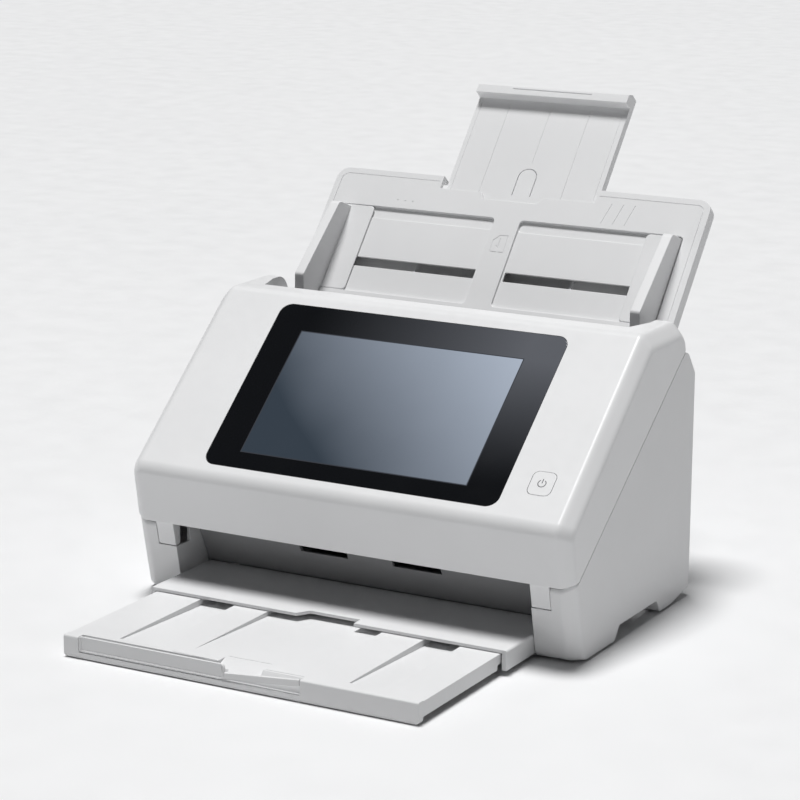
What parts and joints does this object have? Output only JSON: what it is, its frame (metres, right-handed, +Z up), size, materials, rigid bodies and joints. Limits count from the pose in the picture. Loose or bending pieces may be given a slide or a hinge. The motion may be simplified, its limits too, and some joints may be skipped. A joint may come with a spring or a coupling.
{
  "type": "sheet fed document scanner",
  "caption": "Desktop sheet fed document scanner: wedge housing with touch screen and power button, feeder chute with side guides, and an exit bay with sliding tray.",
  "frame": {"origin": "centre of the bounding box on the table, tray out and chute extension up", "axes": "+X to the right seen from the front, -Y towards the user, +Z up"},
  "size_m": [0.316, 0.4274, 0.3101],
  "materials": {
    "white": "fine satin texture",
    "grey": "satin",
    "dark": "satin",
    "glass": "polished",
    "screen": "smooth",
    "rubber": "matte",
    "steel": "drawn",
    "board": "solder mask",
    "nylon": "satin"
  },
  "bodies": {
    "base": {"base_pan": "grey", "left_side_cover": "white", "right_side_cover": "white", "rear_cover": "white", "output_shelf": "white", "exit_guide": "grey", "lower_paper_guide": "grey", "lower_image_sensor": "dark", "lower_sensor_glass": "glass", "left_frame": "steel", "right_frame": "steel", "feed_motor": "steel", "drive_belt": "rubber", "main_board": "board", "power_jack": "dark", "port_plate": "steel", "usb_port": "steel", "lan_port": "steel", "foot_front_left": "rubber", "foot_front_right": "rubber", "foot_rear_left": "rubber", "foot_rear_right": "rubber", "left_hinge_pin": "steel", "right_hinge_pin": "steel"},
    "cover": {"front_cover": "white", "upper_paper_guide": "grey", "touch_glass": "glass", "lcd_panel": "screen", "display_board": "board", "upper_image_sensor": "dark", "upper_sensor_glass": "glass", "left_hinge_arm": "white", "right_hinge_arm": "white"},
    "button": {"power_button": "white"},
    "tray": {"tray_extension": "white"},
    "stopper": {"paper_stopper": "white"},
    "chute": {"paper_chute": "white", "chute_back_cover": "white"},
    "extension": {"chute_extension": "white"},
    "guide_left": {"left_guide": "white"},
    "guide_right": {"right_guide": "white"},
    "guide_gear": {"guide_pinion": "nylon"},
    "conveyor_roller": {"conveyor_shaft": "steel", "conveyor_tyre": "rubber", "conveyor_pulley": "nylon", "conveyor_gear": "nylon", "transfer_gear": "nylon"},
    "exit_roller": {"exit_shaft": "steel", "exit_tyre": "rubber", "exit_pulley": "nylon"},
    "feed_roller": {"feed_shaft": "steel", "feed_tyre": "rubber", "feed_gear": "nylon"},
    "idler": {"idler_gear": "nylon"},
    "motor_rotor": {"motor_pinion": "steel"},
    "separation_roller": {"separation_shaft": "steel", "separation_tyre": "rubber"},
    "conveyor_pinch": {"conveyor_pinch_roller": "nylon"},
    "exit_pinch": {"exit_pinch_roller": "nylon"}
  },
  "joints": [
    {"name": "cover_hinge", "type": "hinge", "parent": "base", "child": "cover", "pos_m": [0, -0.0807, 0.0475], "axis": [1, 0, 0], "range_deg": [0, 80]},
    {"name": "power_button_press", "type": "slide", "parent": "cover", "child": "button", "axis": [0, 0.6455, -0.7638], "range_m": [0, 0.0008], "stiffness_N_per_m": 700, "springref_m": -0.0004},
    {"name": "tray_slide", "type": "slide", "parent": "base", "child": "tray", "axis": [0, 1, 0], "range_m": [0, 0.094]},
    {"name": "stopper_flip", "type": "hinge", "parent": "tray", "child": "stopper", "pos_m": [0, -0.2109, 0.013], "axis": [1, 0, 0], "range_deg": [-165, 0]},
    {"name": "chute_lift", "type": "slide", "parent": "base", "child": "chute", "axis": [0, 0.6455, 0.7638], "range_m": [0, 0.03]},
    {"name": "extension_slide", "type": "slide", "parent": "chute", "child": "extension", "axis": [0, 0.6455, 0.7638], "range_m": [-0.078, 0]},
    {"name": "left_guide_slide", "type": "slide", "parent": "chute", "child": "guide_left", "axis": [1, 0, 0], "range_m": [0, 0.09]},
    {"name": "right_guide_slide", "type": "slide", "parent": "chute", "child": "guide_right", "axis": [1, 0, 0], "range_m": [-0.09, 0]},
    {"name": "guide_pinion_spin", "type": "hinge", "parent": "chute", "child": "guide_gear", "pos_m": [0, 0.10672, 0.19604], "axis": [0, -0.7638, 0.6455], "range_deg": [-650, 5]},
    {"name": "conveyor_spin", "type": "hinge", "parent": "base", "child": "conveyor_roller", "pos_m": [0, 0.02868, 0.09873], "axis": [1, 0, 0], "continuous": true},
    {"name": "exit_spin", "type": "hinge", "parent": "base", "child": "exit_roller", "pos_m": [0, -0.03622, 0.05195], "axis": [1, 0, 0], "continuous": true},
    {"name": "feed_spin", "type": "hinge", "parent": "base", "child": "feed_roller", "pos_m": [0, 0.05661, 0.11815], "axis": [1, 0, 0], "continuous": true},
    {"name": "idler_spin", "type": "hinge", "parent": "base", "child": "idler", "pos_m": [0, 0.04265, 0.10844], "axis": [1, 0, 0], "continuous": true},
    {"name": "motor_spin", "type": "hinge", "parent": "base", "child": "motor_rotor", "pos_m": [0, 0.02868, 0.07273], "axis": [1, 0, 0], "continuous": true},
    {"name": "separation_spin", "type": "hinge", "parent": "cover", "child": "separation_roller", "pos_m": [0, 0.04482, 0.13157], "axis": [1, 0, 0], "continuous": true},
    {"name": "conveyor_pinch_spin", "type": "hinge", "parent": "cover", "child": "conveyor_pinch", "pos_m": [0, 0.01988, 0.11063], "axis": [1, 0, 0], "continuous": true},
    {"name": "exit_pinch_spin", "type": "hinge", "parent": "cover", "child": "exit_pinch", "pos_m": [0, -0.04383, 0.06224], "axis": [1, 0, 0], "continuous": true}
  ],
  "couplings": [
    {"joint": "right_guide_slide", "follows": "left_guide_slide", "ratio": -1},
    {"joint": "guide_pinion_spin", "follows": "left_guide_slide", "rad_per_m": -125},
    {"joint": "exit_spin", "follows": "conveyor_spin", "ratio": 1},
    {"joint": "feed_spin", "follows": "conveyor_spin", "ratio": 1},
    {"joint": "idler_spin", "follows": "conveyor_spin", "ratio": -1.4286},
    {"joint": "motor_spin", "follows": "conveyor_spin", "ratio": -3.3333}
  ]
}
